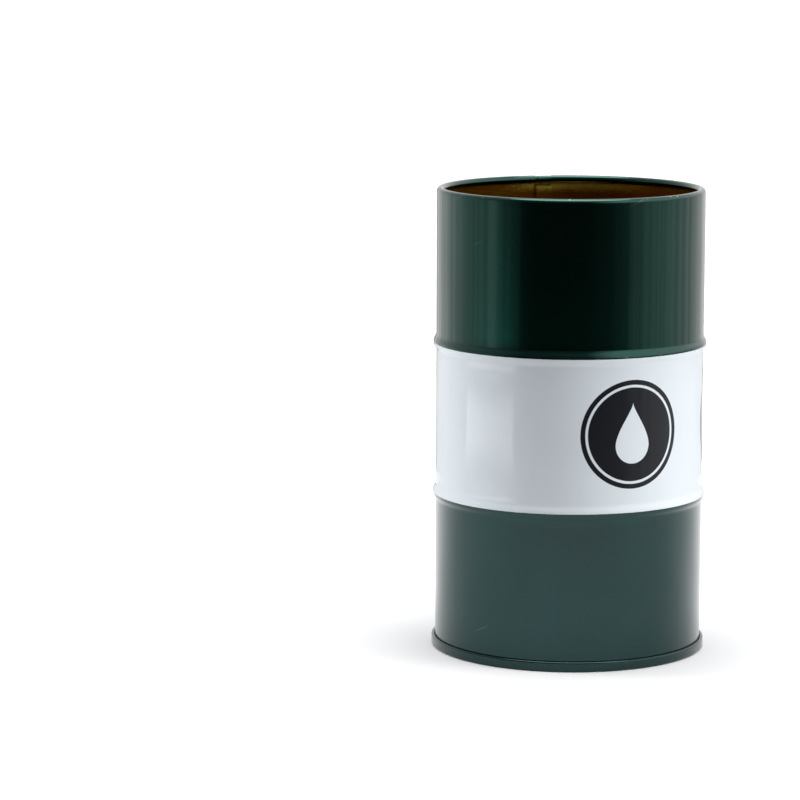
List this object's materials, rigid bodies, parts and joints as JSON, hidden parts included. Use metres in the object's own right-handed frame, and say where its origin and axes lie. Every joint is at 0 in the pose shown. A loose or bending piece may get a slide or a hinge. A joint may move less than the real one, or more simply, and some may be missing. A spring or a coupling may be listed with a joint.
{
  "type": "drum-shaped oil can",
  "caption": "Open-topped cylindrical tin can shaped like an oil drum, with rolled hoops round the wall, an inward-curled rim and a double-seamed, recessed bottom.",
  "frame": {"origin": "centre of the ring that the can stands on, at the underside of the double seam", "axes": "+Z along the can's axis towards its open mouth, -Y towards the front, +Y towards the back where the side seam is"},
  "size_m": [0.0678, 0.0678, 0.1143],
  "materials": {
    "printed_tinplate": "glossy dark green and white litho print outside, clear gold lacquer inside",
    "enamelled_tinplate": "glossy dark green enamel outside, clear gold lacquer inside",
    "sealing_compound": "matt grey, hidden inside the double seam"
  },
  "bodies": {
    "root": {"body_shell": "printed_tinplate", "bottom_end": "enamelled_tinplate", "seam_compound": "sealing_compound"}
  },
  "joints": []
}
